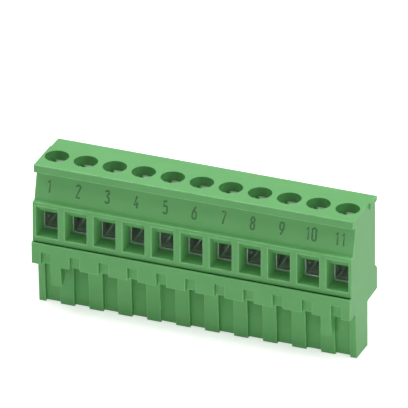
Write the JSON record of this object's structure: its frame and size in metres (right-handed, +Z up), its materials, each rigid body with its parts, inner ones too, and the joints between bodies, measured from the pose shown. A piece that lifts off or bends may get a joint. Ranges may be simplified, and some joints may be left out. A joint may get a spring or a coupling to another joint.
{
  "type": "pluggable terminal block",
  "caption": "Green pluggable screw terminal block: wires enter at the front, slotted screws on top raise box clamps, and fork contacts below push onto header pins.",
  "frame": {"origin": "bottom centre of the bounding box: the middle of the row, halfway between the collar's front and rear, at the plug's end", "axes": "+X along the row from pole 1 to pole 11, -Y the side that the wires enter, +Z up to the screws"},
  "size_m": [0.0561, 0.0124, 0.0259],
  "materials": {
    "moulded_green": "satin moulded polyamide",
    "cage_steel": "zinc-plated steel strip",
    "screw_steel": "zinc-plated steel",
    "contact_tin": "tin-plated copper alloy"
  },
  "bodies": {
    "housing": {"housing": "moulded_green", "contact_1": "contact_tin", "contact_2": "contact_tin", "contact_3": "contact_tin", "contact_4": "contact_tin", "contact_5": "contact_tin", "contact_6": "contact_tin", "contact_7": "contact_tin", "contact_8": "contact_tin", "contact_9": "contact_tin", "contact_10": "contact_tin", "contact_11": "contact_tin"},
    "screw_1": {"clamp_screw_1": "screw_steel"},
    "cage_1": {"clamp_cage_1": "cage_steel"},
    "screw_2": {"clamp_screw_2": "screw_steel"},
    "cage_2": {"clamp_cage_2": "cage_steel"},
    "screw_3": {"clamp_screw_3": "screw_steel"},
    "cage_3": {"clamp_cage_3": "cage_steel"},
    "screw_4": {"clamp_screw_4": "screw_steel"},
    "cage_4": {"clamp_cage_4": "cage_steel"},
    "screw_5": {"clamp_screw_5": "screw_steel"},
    "cage_5": {"clamp_cage_5": "cage_steel"},
    "screw_6": {"clamp_screw_6": "screw_steel"},
    "cage_6": {"clamp_cage_6": "cage_steel"},
    "screw_7": {"clamp_screw_7": "screw_steel"},
    "cage_7": {"clamp_cage_7": "cage_steel"},
    "screw_8": {"clamp_screw_8": "screw_steel"},
    "cage_8": {"clamp_cage_8": "cage_steel"},
    "screw_9": {"clamp_screw_9": "screw_steel"},
    "cage_9": {"clamp_cage_9": "cage_steel"},
    "screw_10": {"clamp_screw_10": "screw_steel"},
    "cage_10": {"clamp_cage_10": "cage_steel"},
    "screw_11": {"clamp_screw_11": "screw_steel"},
    "cage_11": {"clamp_cage_11": "cage_steel"}
  },
  "joints": [
    {"name": "screw_1_turn", "type": "hinge", "parent": "housing", "child": "screw_1", "pos_m": [-0.0254, -0.0008, 0.0235], "axis": [0, 0, 1], "range_deg": [-2016, 0]},
    {"name": "cage_1_rise", "type": "slide", "parent": "housing", "child": "cage_1", "axis": [0, 0, 1], "range_m": [0, 0.0028]},
    {"name": "screw_2_turn", "type": "hinge", "parent": "housing", "child": "screw_2", "pos_m": [-0.02032, -0.0008, 0.0235], "axis": [0, 0, 1], "range_deg": [-2016, 0]},
    {"name": "cage_2_rise", "type": "slide", "parent": "housing", "child": "cage_2", "axis": [0, 0, 1], "range_m": [0, 0.0028]},
    {"name": "screw_3_turn", "type": "hinge", "parent": "housing", "child": "screw_3", "pos_m": [-0.01524, -0.0008, 0.0235], "axis": [0, 0, 1], "range_deg": [-2016, 0]},
    {"name": "cage_3_rise", "type": "slide", "parent": "housing", "child": "cage_3", "axis": [0, 0, 1], "range_m": [0, 0.0028]},
    {"name": "screw_4_turn", "type": "hinge", "parent": "housing", "child": "screw_4", "pos_m": [-0.01016, -0.0008, 0.0235], "axis": [0, 0, 1], "range_deg": [-2016, 0]},
    {"name": "cage_4_rise", "type": "slide", "parent": "housing", "child": "cage_4", "axis": [0, 0, 1], "range_m": [0, 0.0028]},
    {"name": "screw_5_turn", "type": "hinge", "parent": "housing", "child": "screw_5", "pos_m": [-0.00508, -0.0008, 0.0235], "axis": [0, 0, 1], "range_deg": [-2016, 0]},
    {"name": "cage_5_rise", "type": "slide", "parent": "housing", "child": "cage_5", "axis": [0, 0, 1], "range_m": [0, 0.0028]},
    {"name": "screw_6_turn", "type": "hinge", "parent": "housing", "child": "screw_6", "pos_m": [0, -0.0008, 0.0235], "axis": [0, 0, 1], "range_deg": [-2016, 0]},
    {"name": "cage_6_rise", "type": "slide", "parent": "housing", "child": "cage_6", "axis": [0, 0, 1], "range_m": [0, 0.0028]},
    {"name": "screw_7_turn", "type": "hinge", "parent": "housing", "child": "screw_7", "pos_m": [0.00508, -0.0008, 0.0235], "axis": [0, 0, 1], "range_deg": [-2016, 0]},
    {"name": "cage_7_rise", "type": "slide", "parent": "housing", "child": "cage_7", "axis": [0, 0, 1], "range_m": [0, 0.0028]},
    {"name": "screw_8_turn", "type": "hinge", "parent": "housing", "child": "screw_8", "pos_m": [0.01016, -0.0008, 0.0235], "axis": [0, 0, 1], "range_deg": [-2016, 0]},
    {"name": "cage_8_rise", "type": "slide", "parent": "housing", "child": "cage_8", "axis": [0, 0, 1], "range_m": [0, 0.0028]},
    {"name": "screw_9_turn", "type": "hinge", "parent": "housing", "child": "screw_9", "pos_m": [0.01524, -0.0008, 0.0235], "axis": [0, 0, 1], "range_deg": [-2016, 0]},
    {"name": "cage_9_rise", "type": "slide", "parent": "housing", "child": "cage_9", "axis": [0, 0, 1], "range_m": [0, 0.0028]},
    {"name": "screw_10_turn", "type": "hinge", "parent": "housing", "child": "screw_10", "pos_m": [0.02032, -0.0008, 0.0235], "axis": [0, 0, 1], "range_deg": [-2016, 0]},
    {"name": "cage_10_rise", "type": "slide", "parent": "housing", "child": "cage_10", "axis": [0, 0, 1], "range_m": [0, 0.0028]},
    {"name": "screw_11_turn", "type": "hinge", "parent": "housing", "child": "screw_11", "pos_m": [0.0254, -0.0008, 0.0235], "axis": [0, 0, 1], "range_deg": [-2016, 0]},
    {"name": "cage_11_rise", "type": "slide", "parent": "housing", "child": "cage_11", "axis": [0, 0, 1], "range_m": [0, 0.0028]}
  ],
  "couplings": [
    {"joint": "screw_1_turn", "follows": "cage_1_rise", "rad_per_m": -12566},
    {"joint": "screw_2_turn", "follows": "cage_2_rise", "rad_per_m": -12566},
    {"joint": "screw_3_turn", "follows": "cage_3_rise", "rad_per_m": -12566},
    {"joint": "screw_4_turn", "follows": "cage_4_rise", "rad_per_m": -12566},
    {"joint": "screw_5_turn", "follows": "cage_5_rise", "rad_per_m": -12566},
    {"joint": "screw_6_turn", "follows": "cage_6_rise", "rad_per_m": -12566},
    {"joint": "screw_7_turn", "follows": "cage_7_rise", "rad_per_m": -12566},
    {"joint": "screw_8_turn", "follows": "cage_8_rise", "rad_per_m": -12566},
    {"joint": "screw_9_turn", "follows": "cage_9_rise", "rad_per_m": -12566},
    {"joint": "screw_10_turn", "follows": "cage_10_rise", "rad_per_m": -12566},
    {"joint": "screw_11_turn", "follows": "cage_11_rise", "rad_per_m": -12566}
  ]
}
